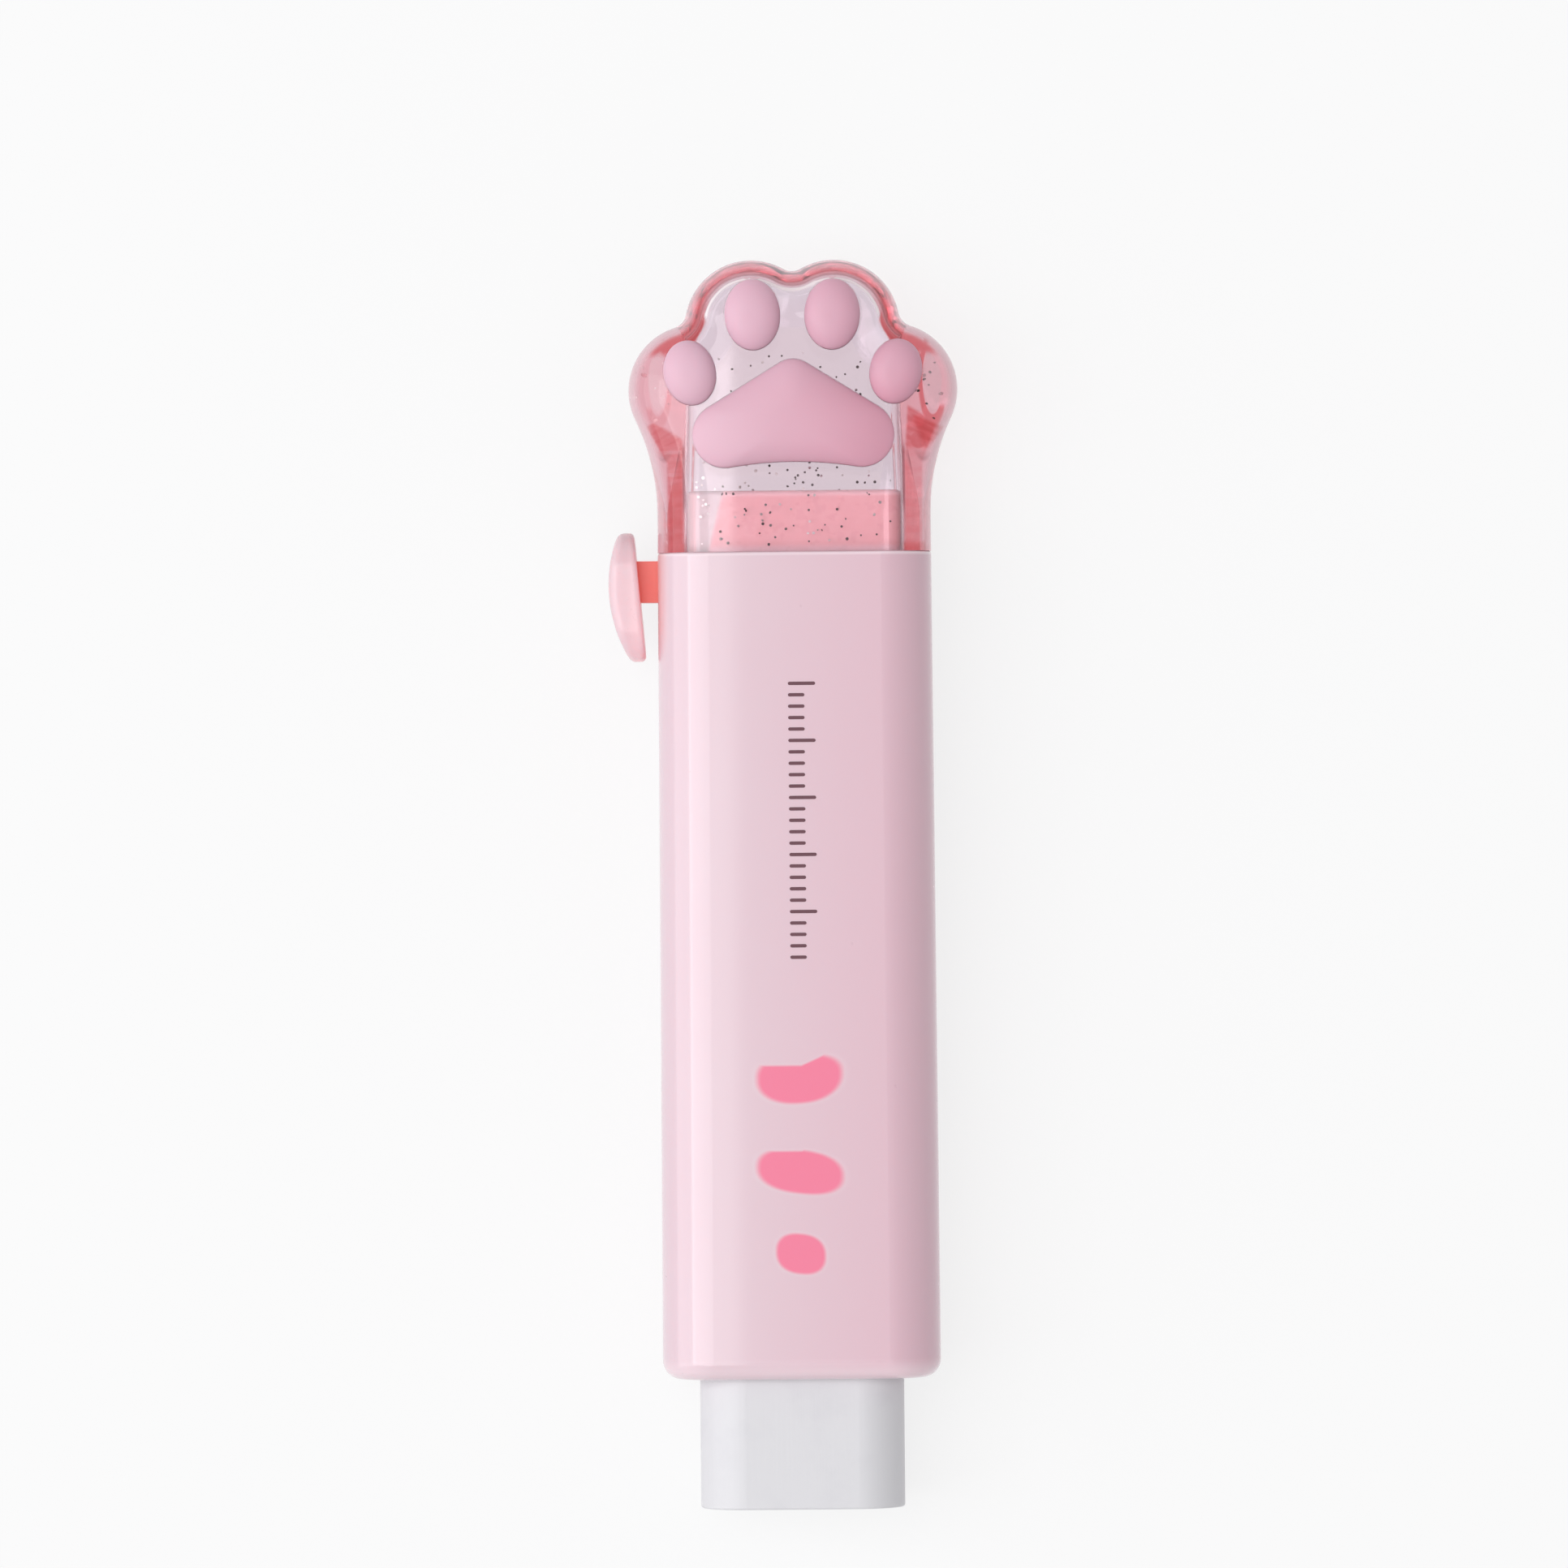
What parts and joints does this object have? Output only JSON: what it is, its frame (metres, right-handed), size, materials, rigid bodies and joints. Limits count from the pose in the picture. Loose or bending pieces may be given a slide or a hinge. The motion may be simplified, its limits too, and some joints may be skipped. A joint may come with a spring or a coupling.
{
  "type": "sliding eraser stick",
  "caption": "Flat push-up eraser stick: a pink case with a side thumb button that slides a white eraser bar out of its mouth, and a clear paw-shaped end cap with raised pads.",
  "frame": {"origin": "middle of the case's flat back face, on which the stick lies", "axes": "+X to the right seen from the front, +Y along the stick towards the paw cap, +Z out of the front face, away from the surface that the stick lies on"},
  "size_m": [0.0309, 0.11, 0.0165],
  "materials": {
    "case_pink": "smooth injection-moulded plastic, satin gloss",
    "plug_salmon": "smooth moulded plastic",
    "cap_clear_pink": "polished clear pink plastic with fine glitter in it",
    "pad_pink": "soft matte plastic",
    "slide_coral": "smooth slightly see-through plastic",
    "button_pink": "smooth moulded plastic, satin",
    "eraser_white": "smooth white vinyl, slightly powdery"
  },
  "bodies": {
    "case": {"case_shell": "case_pink", "plug": "plug_salmon", "paw_cap": "cap_clear_pink", "toe_pad_outer_left": "pad_pink", "toe_pad_inner_left": "pad_pink", "toe_pad_inner_right": "pad_pink", "toe_pad_outer_right": "pad_pink", "palm_pad": "pad_pink"},
    "slider": {"carrier": "slide_coral", "thumb_button": "button_pink"},
    "refill": {"eraser_bar": "eraser_white"}
  },
  "joints": [
    {"name": "slider_travel", "type": "slide", "parent": "case", "child": "slider", "axis": [0, -1, 0], "range_m": [0, 0.048]},
    {"name": "refill_pull", "type": "slide", "parent": "slider", "child": "refill", "axis": [0, -1, 0], "range_m": [0, 0.012]}
  ]
}
